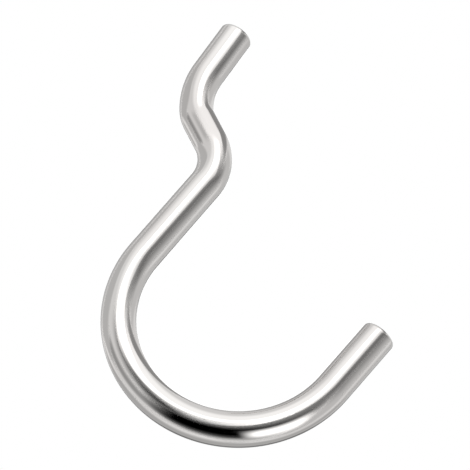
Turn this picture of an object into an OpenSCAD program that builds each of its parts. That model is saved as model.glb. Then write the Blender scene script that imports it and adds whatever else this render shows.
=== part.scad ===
// Hook for a perforated board: one round wire, bent in one plane and cut off at both ends.
// The board's front face is the plane X = 0, the wire lies in the plane Y = 0, and +Z is up.
// The origin is on that face at the top of the straight shank, where the lower edge of the hole bears.
// A bend is given by its inside radius, which is that of the pin the wire is bent round.

/* [Wire] */
// Diameter of the round wire
wire_d = 3.2; // [1.6:0.1:6]
// Radius of the rounded edge of each cut end
end_round = 0.35; // [0.05:0.05:0.7]

/* [Tab behind the board] */
// Straight length of the tab, from its sweep to its cut end
tab_length = 5.1; // [2:0.1:20]
// Lean of the tab away from the board, in degrees
tab_lean = 5; // [0:0.5:20]
// Inside radius of the wide sweep between the tab and its bend
tab_sweep_radius = 5.4; // [0.5:0.1:20]
// Share of the turn between the tab and the sloping run that the sweep makes; the bend makes the rest
tab_sweep_share = 0.6; // [0.1:0.05:0.9]
// Inside radius of the tight bend between the sweep and the sloping run
tab_bend_radius = 1.4; // [0.5:0.1:10]

/* [Sloping run through the hole] */
// Straight length of the sloping run, between its two bends
run_length = 2.4; // [1:0.1:12]
// Slope of the run, rising towards the back of the board, in degrees
run_slope = 28; // [15:0.5:60]
// Inside radius of the bend between the sloping run and the shank
shank_bend_radius = 2.9; // [0.5:0.1:10]

/* [Hook in front of the board] */
// Straight length of the shank, which lies against the board
shank_length = 8.9; // [2:0.1:60]
// Clear width between the shank and the arm, at the top of the round bend
hook_width = 18; // [6:0.5:60]
// Straight length of the arm, from the round bend to its cut end
arm_length = 6.7; // [2:0.1:60]
// Lean of the arm away from the board, in degrees
arm_lean = 2; // [0:0.5:30]

/* [Hidden] */
// Facets in a full turn of a round surface
$fn = 96;

// The wire is drawn in metres, so small that the round ends of neighbours close to one circle.
// When it is whole it is brought to millimetres.
mm = 0.001;
right_angle = 90;
half_turn = 180;
wire_r = wire_d / 2 * mm;
hook_bend_radius = hook_width / 2;
// Angle that each bend turns the wire through, in degrees
shank_bend_turn = right_angle - run_slope;
tab_turn = shank_bend_turn - tab_lean;
tab_sweep_turn = tab_turn * tab_sweep_share;
tab_bend_turn = tab_turn - tab_sweep_turn;
hook_bend_turn = half_turn - arm_lean;

// Straight wire along +Z; what follows it starts at its far end
module straight(length) {
    reach = length * mm;
    cylinder(h = reach, r = wire_r);
    translate([0, 0, reach])
        children();
}

// Wire bent from +Z towards +X; what follows it starts at its far end
module bend(inside_radius, turn) {
    radius = inside_radius * mm + wire_r;
    translate([radius, 0, 0]) {
        rotate([right_angle, 0, half_turn])
            rotate_extrude(angle = turn)
                translate([radius, 0])
                    circle(r = wire_r);
        rotate([0, turn, 0])
            translate([-radius, 0, 0])
                children();
    }
}

// Half a turn of the wire about its own length, so that the next bend goes the other way
module roll() {
    rotate([0, 0, half_turn])
        children();
}

// Straight wire along +Z that ends in a flat cut face with a rounded edge
module cut_straight(length) {
    edge_r = end_round * mm;
    face_r = wire_r - edge_r;
    straight(length - end_round)
        rotate_extrude() {
            square([face_r, edge_r]);
            translate([face_r, 0])
                intersection() {
                    circle(r = edge_r);
                    square(edge_r);
                }
        }
}

module hook_wire() {
    color("silver")
        scale(1 / mm)
            translate([wire_r, 0, 0]) {
                // Downwards: the shank, the round bend and the arm
                rotate([half_turn, 0, 0])
                    straight(shank_length)
                        bend(hook_bend_radius, hook_bend_turn)
                            cut_straight(arm_length);
                // Upwards: the sloping run between its two bends, then the sweep and the tab
                roll()
                    bend(shank_bend_radius, shank_bend_turn)
                        straight(run_length)
                            roll()
                                bend(tab_bend_radius, tab_bend_turn)
                                    bend(tab_sweep_radius, tab_sweep_turn)
                                        cut_straight(tab_length);
            }
}

hook_wire();
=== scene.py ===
# %% [markdown]
# # A wire hook for a perforated board
#
# The real hook is one length of round steel wire. It was cut off straight, bent over pins in one flat
# plane, and plated bright. This lesson loads the measured solid as a guide, sets the camera, makes the
# plate, lets Geometry Nodes cut and bend the wire, and builds the white room that the wire mirrors.

# %% Load the measured solid
import math

import bpy
from mathutils import Matrix, Vector


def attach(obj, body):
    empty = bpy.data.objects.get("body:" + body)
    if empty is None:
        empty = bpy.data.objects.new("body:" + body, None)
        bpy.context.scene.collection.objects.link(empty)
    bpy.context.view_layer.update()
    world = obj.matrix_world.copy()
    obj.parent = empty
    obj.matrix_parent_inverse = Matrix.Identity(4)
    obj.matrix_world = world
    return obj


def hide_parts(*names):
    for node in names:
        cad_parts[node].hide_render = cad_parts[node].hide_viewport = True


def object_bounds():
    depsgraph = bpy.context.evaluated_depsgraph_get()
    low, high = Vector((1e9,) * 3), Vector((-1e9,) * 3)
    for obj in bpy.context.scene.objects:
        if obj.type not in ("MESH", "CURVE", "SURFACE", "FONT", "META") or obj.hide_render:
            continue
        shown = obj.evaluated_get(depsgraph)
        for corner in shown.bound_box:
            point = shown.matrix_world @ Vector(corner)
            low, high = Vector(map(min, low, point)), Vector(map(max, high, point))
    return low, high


MM = 0.001
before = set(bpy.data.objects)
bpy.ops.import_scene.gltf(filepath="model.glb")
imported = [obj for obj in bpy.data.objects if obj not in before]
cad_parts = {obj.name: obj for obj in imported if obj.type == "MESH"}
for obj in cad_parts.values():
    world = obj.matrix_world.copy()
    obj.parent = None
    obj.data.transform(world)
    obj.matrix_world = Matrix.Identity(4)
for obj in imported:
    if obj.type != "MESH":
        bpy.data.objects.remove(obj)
cad_low, cad_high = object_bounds()
print("solids:", sorted(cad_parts), "from", cad_low[:], "to", cad_high[:])

# %% [markdown]
# ## The camera
#
# The picture was taken with a long lens, from a little below the hook and with the camera tipped well
# over to one side. A Track To constraint could aim the camera, but it would hold it upright. So the
# camera is set by three angles that a photographer would name: how far it walks round the hook, how far
# it goes up, and how far it rolls. From those come the three directions that make up its rotation.

# %% Camera at the photograph's viewing angle
WALK_ROUND = math.radians(17.8)
GO_UP = math.radians(-21.9)
ROLL = math.radians(40.6)
STAND_OFF = 224.8 * MM
LOOK_AT = Vector((6.88, -0.02, -2.4)) * MM

towards_camera = Vector((math.sin(WALK_ROUND) * math.cos(GO_UP),
                         -math.cos(WALK_ROUND) * math.cos(GO_UP),
                         math.sin(GO_UP)))
level_right = Vector((math.cos(WALK_ROUND), math.sin(WALK_ROUND), 0))
level_up = towards_camera.cross(level_right)
picture_right = level_right * math.cos(ROLL) + level_up * math.sin(ROLL)
picture_up = towards_camera.cross(picture_right)

camera_data = bpy.data.cameras.new("long_lens")
camera_data.sensor_width = 36
camera_data.lens = 191.5
camera_data.clip_start = 5 * MM
camera = bpy.data.objects.new("camera", camera_data)
turn = Matrix((picture_right, picture_up, towards_camera)).transposed().to_4x4()
camera.matrix_world = Matrix.Translation(LOOK_AT + towards_camera * STAND_OFF) @ turn
bpy.context.scene.collection.objects.link(camera)
bpy.context.scene.camera = camera
bpy.context.scene.view_settings.view_transform = "Standard"
print("camera at", camera.matrix_world.translation[:])

# %% [markdown]
# ## Three small tools
#
# Every node in this lesson is added by one function, which sets the node's options and then fills its
# inputs, either with a value or with a link from another node. A second function empties a new material
# or world, because Blender puts nodes in it that aren't wanted here. Colours are written as the hex
# values that a picture shows, and Blender mixes light in linear numbers, so a third function turns one
# into the other.

# %% Add a node, empty a tree, and read a colour
MATH = "ShaderNodeMath"


def add(tree, kind, feeds=(), **settings):
    """Add a node. feeds fills its inputs, by name from a dict or in order from a tuple or list."""
    node = tree.nodes.new(kind)
    for name, value in settings.items():
        setattr(node, name, value)
    pairs = feeds.items() if isinstance(feeds, dict) else enumerate(feeds)
    for place, value in pairs:
        if isinstance(value, bpy.types.NodeSocket):
            tree.links.new(value, node.inputs[place])
        else:
            node.inputs[place].default_value = value
    return node


def empty_tree(owner):
    """The node tree of a material or world, with nothing in it."""
    owner.use_nodes = True
    owner.node_tree.nodes.clear()
    return owner.node_tree


def linear(hex_colour):
    """The linear red, green, blue and alpha of a hex colour, by the curve of the sRGB standard."""
    parts = [int(hex_colour[k:k + 2], 16) / 255 for k in (1, 3, 5)]
    return [p / 12.92 if p <= 0.04045 else ((p + 0.055) / 1.055) ** 2.4 for p in parts] + [1]


print("mid grey reads as", round(linear("#808080")[0], 3))

# %% [markdown]
# ## The wire's sizes
#
# These are the measured sizes. A bend is measured by the pin that the wire was bent round, and its own
# radius is that of the wire's middle line. The chain starts at the tab's cut end, behind the board. It
# runs down the tab, through a wide sweep and a tight bend into the short sloping run that lies in the
# hole, then down the shank and round the hook to the arm's cut end. The wire is drawn a hair thinner
# than it is, so that it stays inside the solid.

# %% Sizes of the bent wire
WIRE_RADIUS = 1.6 * MM
HAIR = 0.01 * MM
QUARTER_TURN = math.pi / 2
TAB_LEAN = math.radians(5)
RUN_SLOPE = math.radians(28)
ARM_LEAN = math.radians(2)
SWEEP_SHARE = 0.6
tab_turn = QUARTER_TURN - RUN_SLOPE - TAB_LEAN
sizes = {
    "Wire diameter": 2 * WIRE_RADIUS - HAIR,
    "End rounding": 0.35 * MM,
    "Tab length": 5.1 * MM,
    "Tab sweep radius": 5.4 * MM + WIRE_RADIUS,
    "Tab sweep turn": tab_turn * SWEEP_SHARE,
    "Tab bend radius": 1.4 * MM + WIRE_RADIUS,
    "Tab bend turn": tab_turn * (1 - SWEEP_SHARE),
    "Run length": 2.4 * MM,
    "Shank bend radius": 2.9 * MM + WIRE_RADIUS,
    "Shank bend turn": RUN_SLOPE - QUARTER_TURN,
    "Shank length": 8.9 * MM,
    "Hook bend radius": 9 * MM + WIRE_RADIUS,
    "Hook bend turn": 2 * QUARTER_TURN - ARM_LEAN,
    "Arm length": 6.7 * MM,
}
PATH = ("Tab", "Tab sweep", "Tab bend", "Run", "Shank bend", "Shank", "Hook bend", "Arm")
print("tab turns by", round(math.degrees(tab_turn), 1), "degrees, path has", len(PATH), "stretches")

# %% [markdown]
# ## Where the wire starts
#
# The origin of the part is at the top of the shank, but the chain starts at the tab's end. The wire could
# be bent first and moved into place afterwards. Here the stretches above the shank are walked through
# once instead, and the walk is taken off the shank's top, so that the first point is known from the start.

# %% The tab's cut end
ABOVE_SHANK = PATH[:5]
FIRST_HEADING = TAB_LEAN - QUARTER_TURN
SHANK_TOP = Vector((WIRE_RADIUS, 0))


def length_of(name):
    """The wire's length in one stretch of the path."""
    if name + " length" in sizes:
        return sizes[name + " length"]
    return sizes[name + " radius"] * abs(sizes[name + " turn"])


walk, heading_now = Vector((0, 0)), FIRST_HEADING
for name in ABOVE_SHANK:
    half_turn = sizes.get(name + " turn", 0) / 2
    step = length_of(name) * (math.sin(half_turn) / half_turn if half_turn else 1)
    walk += step * Vector((math.cos(heading_now + half_turn), math.sin(heading_now + half_turn)))
    heading_now += 2 * half_turn
tab_end = SHANK_TOP - walk
sizes["Tab end"] = (tab_end.x, 0, tab_end.y)
sizes["First heading"] = FIRST_HEADING
wire_length = sum(length_of(name) for name in PATH)
print("wire length in mm:", round(wire_length / MM, 2), "tab end:", [round(v / MM, 3) for v in tab_end])

# %% [markdown]
# ## Bright nickel plate on drawn steel wire
#
# Steel wire gets its size by being pulled through a die. The die leaves fine lines along the wire, and
# the thin bright plate that follows softens them but doesn't hide them. Under a lamp they stretch each
# reflection into streaks along the wire, and the plate itself is a slightly warm grey mirror.
#
# A brushed look could come from an anisotropic shader, but the lines here are shallow and uneven, so they
# are drawn as a bump. Each point of the wire will carry a "drawn" attribute, which says where the point
# was on the straight wire before it was bent. A pattern on those coordinates follows every bend with no
# seam.

# %% Die lines and straightening waves
# Real die lines are a few hundredths of a millimetre apart. They are drawn coarser here, so that they show.
LINE_WIDTH = 0.28 * MM
LINE_LENGTH = 16 * MM
LINE_DEPTH = 0.003 * MM
# Straightening rolls leave a slow unevenness, which makes the edges of a reflection wander.
WAVE_WIDTH = 3.5 * MM
WAVE_LENGTH = 8.75 * MM
WAVE_DEPTH = 0.012 * MM

plate = bpy.data.materials.new("bright_nickel_plate")
tree = empty_tree(plate)
drawn = add(tree, "ShaderNodeAttribute", attribute_name="drawn").outputs["Vector"]
lines_at = add(tree, "ShaderNodeMapping", {
    "Vector": drawn, "Scale": (1 / LINE_WIDTH, 1 / LINE_WIDTH, 1 / LINE_LENGTH)}).outputs[0]
lines = add(tree, "ShaderNodeTexNoise", {"Vector": lines_at, "Scale": 1, "Detail": 3, "Roughness": 0.6})
waves_at = add(tree, "ShaderNodeMapping", {
    "Vector": drawn, "Scale": (1 / WAVE_WIDTH, 1 / WAVE_WIDTH, 1 / WAVE_LENGTH)}).outputs[0]
waves = add(tree, "ShaderNodeTexNoise", {"Vector": waves_at, "Scale": 1, "Detail": 1})

wave_bump = add(tree, "ShaderNodeBump", {
    "Height": waves.outputs["Fac"], "Strength": 1, "Distance": WAVE_DEPTH})
line_bump = add(tree, "ShaderNodeBump", {
    "Height": lines.outputs["Fac"], "Strength": 1, "Distance": LINE_DEPTH,
    "Normal": wave_bump.outputs["Normal"]})
print("die lines", LINE_WIDTH / MM, "mm apart, waves", WAVE_LENGTH / MM, "mm long")

# %% [markdown]
# ## Nicks and cut ends
#
# Small parts are plated by the thousand in a turning barrel, where they knock together, so a few shallow
# nicks are left in the plate. The two ends were cropped between shear blades. A cropped face is scored
# across and stays duller than the drawn side. Nicks could be modelled one by one, but both come from the
# same coordinates here: a nick is the middle of a Voronoi cell, and an end is wherever the wire's own
# length is nearly used up.

# %% Nicks
NICK_APART = 1.6 * MM
NICK_SIZE_SHARE = 0.1
NICK_DEPTH = 0.003 * MM
# Parts slide along each other as they knock, so the pattern of nicks is drawn out along the wire.
LENGTHWAYS_SHARE = 0.6

nicks_at = add(tree, "ShaderNodeMapping", {
    "Vector": drawn,
    "Scale": (1 / NICK_APART, 1 / NICK_APART, LENGTHWAYS_SHARE / NICK_APART)}).outputs[0]
nick_cells = add(tree, "ShaderNodeTexVoronoi", {"Vector": nicks_at, "Scale": 1}).outputs["Distance"]
nick = add(tree, "ShaderNodeMapRange", {
    "Value": nick_cells, "From Max": NICK_SIZE_SHARE},
    interpolation_type="SMOOTHSTEP").outputs["Result"]
nick_bump = add(tree, "ShaderNodeBump", {
    "Height": nick, "Strength": 1, "Distance": NICK_DEPTH, "Normal": line_bump.outputs["Normal"]})
print("nicks about", NICK_APART / MM, "mm apart")

# %% Cut ends
# The look of a cut face comes in over the last fifth of a millimetre of the wire's length.
CUT_STARTS = 0.2 * MM
CUT_WHOLE = 0.02 * MM
SCORE_WIDTH = 0.125 * MM
SCORE_LENGTH = 2 * MM
SCORE_DEPTH = 0.02 * MM
# The scores cross the face at a slant, here in radians.
SCORE_TURN = 0.5

along = add(tree, "ShaderNodeSeparateXYZ", (drawn,)).outputs["Z"]
from_middle = add(tree, MATH, (along, wire_length / 2), operation="SUBTRACT").outputs[0]
from_middle = add(tree, MATH, (from_middle,), operation="ABSOLUTE").outputs[0]
cut = add(tree, "ShaderNodeMapRange", {
    "Value": from_middle,
    "From Min": wire_length / 2 - CUT_STARTS, "From Max": wire_length / 2 - CUT_WHOLE},
    interpolation_type="SMOOTHSTEP").outputs["Result"]
scores_at = add(tree, "ShaderNodeMapping", {
    "Vector": drawn, "Rotation": (0, 0, SCORE_TURN),
    "Scale": (1 / SCORE_LENGTH, 1 / SCORE_WIDTH, 1 / SCORE_LENGTH)}).outputs[0]
scores = add(tree, "ShaderNodeTexNoise", {
    "Vector": scores_at, "Scale": 1, "Detail": 3, "Roughness": 0.6})
cut_bump = add(tree, "ShaderNodeBump", {
    "Height": scores.outputs["Fac"], "Strength": cut, "Distance": SCORE_DEPTH,
    "Normal": nick_bump.outputs["Normal"]})
print("scores", SCORE_WIDTH / MM, "mm wide on the cut ends")

# %% The finished plate
# The plate is a little duller along some lines than along others, and dullest on the cut ends.
BRIGHT_LINE = 0.05
DULL_LINE = 0.11
CUT_DULLER_BY = 0.16
# Most of a noise pattern lies between these two values.
NOISE_LOW = 0.3
NOISE_HIGH = 0.7
# The plate's grey drifts a little with the waves: place on the wave, and colour there.
TINTS = ((0.35, "#C9C6C4"), (0.65, "#CECCCA"))

dull = add(tree, "ShaderNodeMapRange", {
    "Value": lines.outputs["Fac"], "From Min": NOISE_LOW, "From Max": NOISE_HIGH,
    "To Min": BRIGHT_LINE, "To Max": DULL_LINE}).outputs["Result"]
dull = add(tree, MATH, (cut, CUT_DULLER_BY, dull), operation="MULTIPLY_ADD").outputs[0]
tint = add(tree, "ShaderNodeValToRGB", {"Fac": waves.outputs["Fac"]})
for stop, (place, colour) in zip(tint.color_ramp.elements, TINTS):
    stop.position = place
    stop.color = linear(colour)
shine = add(tree, "ShaderNodeBsdfPrincipled", {
    "Base Color": tint.outputs["Color"], "Metallic": 1, "Roughness": dull,
    "Normal": cut_bump.outputs["Normal"]})
add(tree, "ShaderNodeOutputMaterial", {"Surface": shine.outputs[0]})
print("plate:", len(tree.nodes), "nodes")

# %% [markdown]
# ## One rule for straights and bends
#
# A wire path is a chain of stretches, each straight or bent to an arc. A point that has gone a share f of
# a stretch of a given length has turned by f times the whole turn. The straight line to it from the start
# of the stretch points half way between the two headings, and is shorter than the wire by sin(a)/a, where
# a is half the turn so far. With no turn that factor is 1, so the same rule draws a straight. A node group
# holds it.
#
# A point before the stretch hasn't moved, and one past it has made the whole move. So the moves of all
# the stretches simply add up.

# %% Node group for one stretch
# A straight turns by nothing, and nothing can't be divided by, so the angle a is never quite zero.
SMALLEST_ANGLE = 0.0001
stretch = bpy.data.node_groups.new("stretch_of_wire", "GeometryNodeTree")
for name in ("Along", "From", "Span", "Length", "Turn", "Heading"):
    stretch.interface.new_socket(name, in_out="INPUT", socket_type="NodeSocketFloat")
stretch.interface.new_socket("Move", in_out="OUTPUT", socket_type="NodeSocketVector")
for name in ("Turned", "To", "Next heading"):
    stretch.interface.new_socket(name, in_out="OUTPUT", socket_type="NodeSocketFloat")

given = add(stretch, "NodeGroupInput").outputs
end = add(stretch, MATH, (given["From"], given["Span"]), operation="ADD").outputs[0]
share = add(stretch, "ShaderNodeMapRange", {
    "Value": given["Along"], "From Min": given["From"], "From Max": end}).outputs["Result"]
turned = add(stretch, MATH, (given["Turn"], share), operation="MULTIPLY").outputs[0]
half = add(stretch, MATH, (turned, 0.5), operation="MULTIPLY").outputs[0]
size = add(stretch, MATH, (half,), operation="ABSOLUTE").outputs[0]
angle = add(stretch, MATH, (size, SMALLEST_ANGLE), operation="MAXIMUM").outputs[0]
sine = add(stretch, MATH, (angle,), operation="SINE").outputs[0]
shorter = add(stretch, MATH, (sine, angle), operation="DIVIDE").outputs[0]
gone = add(stretch, MATH, (given["Length"], share), operation="MULTIPLY").outputs[0]
chord = add(stretch, MATH, (gone, shorter), operation="MULTIPLY").outputs[0]
aim = add(stretch, MATH, (given["Heading"], half), operation="ADD").outputs[0]
aim_x = add(stretch, MATH, (aim,), operation="COSINE").outputs[0]
aim_y = add(stretch, MATH, (aim,), operation="SINE").outputs[0]
aim_to = add(stretch, "ShaderNodeCombineXYZ", (aim_x, aim_y)).outputs[0]
move = add(stretch, "ShaderNodeVectorMath", {
    "Vector": aim_to, "Scale": chord}, operation="SCALE").outputs[0]
heading = add(stretch, MATH, (given["Heading"], given["Turn"]), operation="ADD").outputs[0]
add(stretch, "NodeGroupOutput", {"Move": move, "Turned": turned, "To": end, "Next heading": heading})
print("stretch group:", len(stretch.nodes), "nodes")

# %% [markdown]
# ## Cut and bend the wire with Geometry Nodes
#
# The tree starts with a flat grid. Each column of the grid is one ring of the wire, and the place in the
# column is the angle round it. The stretch rule is used twice. First it draws the outline of the cut
# wire, from the middle of one end face, round its softened edge, along the side and back in over the
# other end. Then it bends the straight wire along the path. A swept curve would be shorter to build, but
# it gives no cut ends with rounded edges, and it doesn't remember where each point was on the straight
# wire.

# %% Tree inputs
counts = {"Sides": 96, "Face rings": 8, "Edge rings": 10, "Side rings": 440}
inputs = {**sizes, **counts, "Finish": plate}
bender = bpy.data.node_groups.new("cut_and_bend_wire", "GeometryNodeTree")
for name, value in inputs.items():
    if isinstance(value, bpy.types.Material):
        kind = "NodeSocketMaterial"
    elif isinstance(value, tuple):
        kind = "NodeSocketVector"
    else:
        kind = "NodeSocketInt" if isinstance(value, int) else "NodeSocketFloat"
    bender.interface.new_socket(name, in_out="INPUT", socket_type=kind)
bender.interface.new_socket("Geometry", in_out="OUTPUT", socket_type="NodeSocketGeometry")
given = add(bender, "NodeGroupInput").outputs
print("tree inputs:", len(inputs))

# %% The flat grid, and where each of its points is
radius = add(bender, MATH, (given["Wire diameter"], 0.5), operation="MULTIPLY").outputs[0]
end_rings = add(bender, MATH, (given["Face rings"], given["Edge rings"]), operation="ADD").outputs[0]
rings = add(bender, MATH, (end_rings, 2, given["Side rings"]), operation="MULTIPLY_ADD").outputs[0]
columns = add(bender, MATH, (rings, 1), operation="ADD").outputs[0]
rows = add(bender, MATH, (given["Sides"], 1), operation="ADD").outputs[0]
grid = add(bender, "GeometryNodeMeshGrid", {
    "Size X": rings, "Size Y": 4 * QUARTER_TURN,
    "Vertices X": columns, "Vertices Y": rows}).outputs["Mesh"]
flat = add(bender, "GeometryNodeInputPosition").outputs[0]
flat = add(bender, "ShaderNodeSeparateXYZ", (flat,)).outputs
ring = add(bender, MATH, (rings, 0.5, flat["X"]), operation="MULTIPLY_ADD").outputs[0]
round_x = add(bender, MATH, (flat["Y"],), operation="COSINE").outputs[0]
round_y = add(bender, MATH, (flat["Y"],), operation="SINE").outputs[0]
print("grid:", counts["Sides"], "sides")


# %% A chain of stretches
def chain(along, heading, stretches):
    """Add up stretches of (span, length, turn) into one move and one turn."""
    total, turned, start = (0, 0, 0), 0.0, 0.0
    for span, length, turn in stretches:
        feeds = (along, start, span, length, turn, heading)
        part = add(bender, "GeometryNodeGroup", feeds, node_tree=stretch).outputs
        total = add(bender, "ShaderNodeVectorMath", (total, part["Move"]), operation="ADD").outputs[0]
        turned = add(bender, MATH, (turned, part["Turned"]), operation="ADD").outputs[0]
        start, heading = part["To"], part["Next heading"]
    return total, turned


lengths, turns = [], []
for name in PATH:
    if name + " length" in sizes:
        lengths.append(given[name + " length"])
        turns.append(0.0)
    else:
        angle = add(bender, MATH, (given[name + " turn"],), operation="ABSOLUTE").outputs[0]
        arc = add(bender, MATH, (given[name + " radius"], angle), operation="MULTIPLY").outputs[0]
        lengths.append(arc)
        turns.append(given[name + " turn"])
print("stretches of the path:", len(lengths))

# %% The cut outline, then the bent path
face = add(bender, MATH, (radius, given["End rounding"]), operation="SUBTRACT").outputs[0]
edge = add(bender, MATH, (given["End rounding"], QUARTER_TURN), operation="MULTIPLY").outputs[0]
side = lengths[0]
for length in lengths[1:]:
    side = add(bender, MATH, (side, length), operation="ADD").outputs[0]
side = add(bender, MATH, (given["End rounding"], -2, side), operation="MULTIPLY_ADD").outputs[0]

cut_outline = [
    (given["Face rings"], face, 0.0),
    (given["Edge rings"], edge, QUARTER_TURN),
    (given["Side rings"], side, 0.0),
    (given["Edge rings"], edge, QUARTER_TURN),
    (given["Face rings"], face, 0.0)]
outline, _ = chain(ring, 0.0, cut_outline)
outline = add(bender, "ShaderNodeSeparateXYZ", (outline,)).outputs
bent, turned = chain(outline["Y"], given["First heading"], zip(lengths, lengths, turns))
print("stretches of the outline:", len(cut_outline))

# %% Straight wire, bent wire, and the finished mesh
# The grid's two long edges meet, and the ring in the middle of an end face has no size. Points that meet
# there become one.
MERGE = 0.001 * MM
straight_x = add(bender, MATH, (outline["X"], round_x), operation="MULTIPLY").outputs[0]
straight_y = add(bender, MATH, (outline["X"], round_y), operation="MULTIPLY").outputs[0]
straight = add(bender, "ShaderNodeCombineXYZ", (straight_x, straight_y, outline["Y"])).outputs[0]
marked = add(bender, "GeometryNodeStoreNamedAttribute", {
    "Geometry": grid, "Name": "drawn", "Value": straight},
    data_type="FLOAT_VECTOR", domain="POINT").outputs["Geometry"]

heading = add(bender, MATH, (given["First heading"], turned), operation="ADD").outputs[0]
sine = add(bender, MATH, (heading,), operation="SINE").outputs[0]
cosine = add(bender, MATH, (heading,), operation="COSINE").outputs[0]
bent = add(bender, "ShaderNodeSeparateXYZ", (bent,)).outputs
out_x = add(bender, MATH, (straight_x, sine), operation="MULTIPLY").outputs[0]
place_x = add(bender, MATH, (bent["X"], out_x), operation="SUBTRACT").outputs[0]
place_z = add(bender, MATH, (straight_x, cosine, bent["Y"]), operation="MULTIPLY_ADD").outputs[0]
place = add(bender, "ShaderNodeCombineXYZ", (place_x, straight_y, place_z)).outputs[0]
place = add(bender, "ShaderNodeVectorMath", (place, given["Tab end"]), operation="ADD").outputs[0]

shaped = add(bender, "GeometryNodeSetPosition", {"Geometry": marked, "Position": place}).outputs[0]
closed = add(bender, "GeometryNodeMergeByDistance", {"Geometry": shaped, "Distance": MERGE}).outputs[0]
smooth = add(bender, "GeometryNodeSetShadeSmooth", {"Geometry": closed}).outputs[0]
whole = add(bender, "GeometryNodeRealizeInstances", {"Geometry": smooth}).outputs[0]
finished = add(bender, "GeometryNodeSetMaterial", {
    "Geometry": whole, "Material": given["Finish"]}).outputs[0]
add(bender, "NodeGroupOutput", {"Geometry": finished})
print("tree:", len(bender.nodes), "nodes")

# %% Run the tree and keep its mesh
blank = bpy.data.objects.new("blank", bpy.data.meshes.new("blank"))
bpy.context.scene.collection.objects.link(blank)
maker = blank.modifiers.new("cut_and_bend", "NODES")
maker.node_group = bender
for socket in bender.interface.items_tree:
    if socket.in_out == "INPUT":
        maker[socket.identifier] = inputs[socket.name]
made = bpy.data.meshes.new_from_object(blank.evaluated_get(bpy.context.evaluated_depsgraph_get()))
bpy.data.objects.remove(blank)
made.name = "hook_wire_plated"
wire = bpy.data.objects.new("hook_wire_plated", made)
bpy.context.scene.collection.objects.link(wire)

volume = 0.0
made.calc_loop_triangles()
for tri in made.loop_triangles:
    a, b, c = (made.vertices[k].co for k in tri.vertices)
    volume += a.dot(b.cross(c)) / 6
print("wire:", len(made.loop_triangles), "triangles, volume in mm3:", round(volume / MM ** 3, 2))

# %% [markdown]
# ## A white room
#
# Polished metal has almost no colour of its own: it shows the room. The picture looks as if it was taken
# in a white tent with a soft light above, where the dark bands along the wire are the camera and what
# stood beside it. An image of a room could give such bands, but a world of plain white and a few
# soft-edged cards do it too, and each card can be moved by hand.

# %% World: a white tent
WHITE = (1, 1, 1, 1)
# The tent is seen as pure white. It lights the floor less than that, because a lamp adds its own light.
TENT_SEEN = 1.0
TENT_LIGHT = 0.75
world = bpy.data.worlds.new("white_tent")
bpy.context.scene.world = world
tree = empty_tree(world)
rays = add(tree, "ShaderNodeLightPath").outputs
seen = add(tree, MATH, (rays["Is Camera Ray"], rays["Is Glossy Ray"]), operation="ADD").outputs[0]
seen = add(tree, MATH, (seen, rays["Is Transmission Ray"]), operation="ADD", use_clamp=True).outputs[0]
level = add(tree, "ShaderNodeMapRange", {
    "Value": seen, "To Min": TENT_LIGHT, "To Max": TENT_SEEN}).outputs["Result"]
tent = add(tree, "ShaderNodeBackground", {"Color": WHITE, "Strength": level})
add(tree, "ShaderNodeOutputWorld", {"Surface": tent.outputs[0]})
print("world: white, seen at", TENT_SEEN, "and lighting the floor at", TENT_LIGHT)

# %% [markdown]
# ## Cards that show in the metal
#
# A photographer shapes the bands on polished metal with cards, pale ones for the bright bands and dark
# ones for the others. Here a card is a plane that glows evenly and fades out at its edges, because a band
# with a hard edge would look painted on. Only mirror rays see the cards, so they neither stand in the
# picture nor light the floor.
#
# A card is placed by where it stands from the hook: so many degrees across and above the camera, as the
# picture is held. Each card hangs nearer than the one before it, so a later card covers an earlier one.


# %% A flat sheet, and a glow with soft edges
def flat_sheet(name, half_x, half_y, material):
    """A flat rectangle about its own origin."""
    corners = [(-half_x, -half_y, 0), (half_x, -half_y, 0), (half_x, half_y, 0), (-half_x, half_y, 0)]
    mesh = bpy.data.meshes.new(name)
    mesh.from_pydata(corners, [], [(0, 1, 2, 3)])
    mesh.materials.append(material)
    sheet = bpy.data.objects.new(name, mesh)
    bpy.context.scene.collection.objects.link(sheet)
    return sheet


def soft_glow(name, half_size, soft, level):
    """A material that glows over half_size each way and fades out over soft on both sides of that edge."""
    material = bpy.data.materials.new(name)
    tree = empty_tree(material)
    at = add(tree, "ShaderNodeTexCoord").outputs["Object"]
    at = add(tree, "ShaderNodeSeparateXYZ", (at,)).outputs
    shares = []
    for way in (0, 1):
        off = add(tree, MATH, (at[way],), operation="ABSOLUTE").outputs[0]
        shares.append(add(tree, "ShaderNodeMapRange", {
            "Value": off, "From Min": half_size[way] + soft[way], "From Max": half_size[way] - soft[way]},
            interpolation_type="SMOOTHSTEP").outputs["Result"])
    share = add(tree, MATH, shares, operation="MULTIPLY").outputs[0]
    clear = add(tree, "ShaderNodeBsdfTransparent")
    glow = add(tree, "ShaderNodeEmission", {"Color": WHITE, "Strength": level})
    both = add(tree, "ShaderNodeMixShader", (share, clear.outputs[0], glow.outputs[0]))
    add(tree, "ShaderNodeOutputMaterial", {"Surface": both.outputs[0]})
    # A card is only seen in the metal, so it isn't sampled as a lamp.
    material.cycles.emission_sampling = "NONE"
    return material


# %% Hang one card
FARTHEST = 3.0
NEARER = 0.82
hung = []


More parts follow.
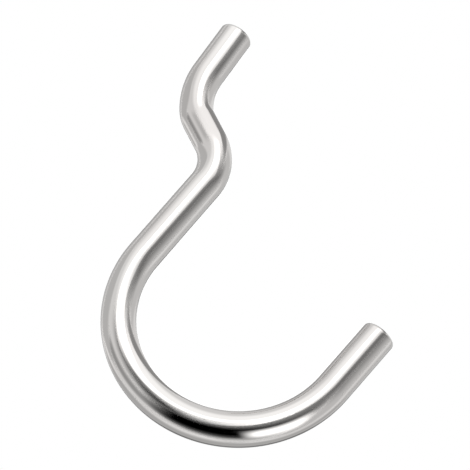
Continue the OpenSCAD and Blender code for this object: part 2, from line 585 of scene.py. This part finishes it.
def hang_card(name, across, above, half_angles, level, fade, tip=0):
    """Hang a card. Its place, half size and tip are in degrees, and its fades are shares of its distance."""
    distance = FARTHEST * NEARER ** len(hung)
    axis = picture_up * across - picture_right * above
    swung = Matrix.Rotation(math.radians(math.hypot(across, above)), 3, axis.normalized())
    facing = swung @ towards_camera
    tipped = Matrix.Rotation(math.radians(tip), 3, facing) @ swung
    half_size = [math.tan(math.radians(angle)) * distance for angle in half_angles]
    soft = [share / 2 * distance for share in fade]
    half_x, half_y = (size + edge for size, edge in zip(half_size, soft))
    card = flat_sheet(name, half_x, half_y, soft_glow(name, half_size, soft, level))
    turn = Matrix((tipped @ picture_right, tipped @ picture_up, facing)).transposed().to_4x4()
    card.matrix_world = Matrix.Translation(LOOK_AT + facing * distance) @ turn
    card.visible_camera = card.visible_diffuse = card.visible_shadow = False
    card.visible_transmission = card.visible_volume_scatter = False
    hung.append(card)


print("the first card hangs", FARTHEST, "m away")

# %% The tent's far sides
# These stand well away from the camera, so they show near the wire's rims.
hang_card("far_corner", -125, 105, (35, 20), level=0.4, fade=(1, 1))
hang_card("left_wall", -90, 50, (20, 30), level=0.7, fade=(0.2, 0.2), tip=-45)
hang_card("right_wall", 90, -30, (40, 40), level=0.8, fade=(0.3, 0.3))
hang_card("low_wall", -70, -90, (45, 30), level=1.2, fade=(0.4, 0.4))
hang_card("ceiling", 20, 75, (35, 20), level=1.5, fade=(0.5, 0.5))
hang_card("tent_pole", 85, 85, (10, 40), level=0.4, fade=(0.1, 0.8), tip=-35)
hang_card("table_side", -20, -120, (60, 35), level=0.6, fade=(0.8, 0.8))
hang_card("bright_strip", 60, -70, (5, 40), level=1.2, fade=(0.5, 0.5), tip=-60)
hang_card("pale_corner", 110, -90, (20, 25), level=0.75, fade=(0.2, 0.2), tip=-30)
hang_card("left_shade", -45, -20, (50, 15), level=0.45, fade=(0.4, 0.4), tip=-35)
print("cards so far:", len(hung))

# %% Behind the hook
# These show mostly when the hook is looked at from behind.
hang_card("shade_behind", 0, -155, (25, 25), level=0.25, fade=(0.25, 0.25))
hang_card("window_behind", 0, 180, (10, 10), level=2, fade=(0.1, 0.1))
print("cards so far:", len(hung))

# %% Close to the camera
# These stand near the camera, so they show along the middle of the wire.
hang_card("soft_light", 8, 43, (30, 17), level=2.5, fade=(0.1, 0.1), tip=20)
hang_card("right_shade", 45, 20, (35, 18), level=0.15, fade=(1.1, 1.1))
hang_card("lamp_stand", -20, 30, (15, 15), level=0, fade=(0.8, 0.3))
hang_card("camera_side", -5, -20, (40, 37), level=0, fade=(0.7, 1.1), tip=-20)
hang_card("window", 23, -34, (16, 17), level=2.4, fade=(0.25, 0.6), tip=10)
print("cards hung:", len(hung))

# %% [markdown]
# ## Floor and lamp
#
# The hook stands on a floor of matt paper, which has no shine of its own and catches the shadow from a
# soft lamp. A solid slab would do for most pictures. But this camera looks up from below the floor, so
# the paper's underside lets every ray through, and its far part fades into the white room and leaves no
# horizon. Neither the floor nor the lamp shows in the metal, because that is left to the cards.

# %% Floor
FLOOR_REACH = 500 * MM
FADE_STARTS = 100 * MM
FADE_WHOLE = 400 * MM
FLOOR_GAP = 0.02 * MM
paper = bpy.data.materials.new("pale_paper")
tree = empty_tree(paper)
spot = add(tree, "ShaderNodeTexCoord").outputs["Object"]
far = add(tree, "ShaderNodeVectorMath", (spot,), operation="LENGTH").outputs["Value"]
fade = add(tree, "ShaderNodeMapRange", {
    "Value": far, "From Min": FADE_STARTS, "From Max": FADE_WHOLE},
    interpolation_type="SMOOTHSTEP").outputs["Result"]
under = add(tree, "ShaderNodeNewGeometry").outputs["Backfacing"]
open_share = add(tree, MATH, (fade, under), operation="MAXIMUM").outputs[0]
matt = add(tree, "ShaderNodeBsdfDiffuse", {"Color": linear("#F4F4F3")})
clear = add(tree, "ShaderNodeBsdfTransparent")
both = add(tree, "ShaderNodeMixShader", (open_share, matt.outputs[0], clear.outputs[0]))
add(tree, "ShaderNodeOutputMaterial", {"Surface": both.outputs[0]})
floor = flat_sheet("pale_floor", FLOOR_REACH, FLOOR_REACH, paper)
floor.location = (LOOK_AT.x, 0, cad_low[2] - FLOOR_GAP)
floor.visible_glossy = False
print("floor at", floor.location[:])

# %% Lamp
lamp_data = bpy.data.lights.new("soft_lamp", "SUN")
lamp_data.energy = 0.8
lamp_data.angle = math.radians(14)
lamp = bpy.data.objects.new("soft_lamp", lamp_data)
lamp.rotation_euler = (math.radians(35), math.radians(-20), 0)
lamp.visible_glossy = False
bpy.context.scene.collection.objects.link(lamp)
print("lamp spreads over", round(math.degrees(lamp_data.angle)), "degrees")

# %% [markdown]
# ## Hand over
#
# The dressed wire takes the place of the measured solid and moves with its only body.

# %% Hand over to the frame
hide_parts("hook_wire")
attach(wire, "root")
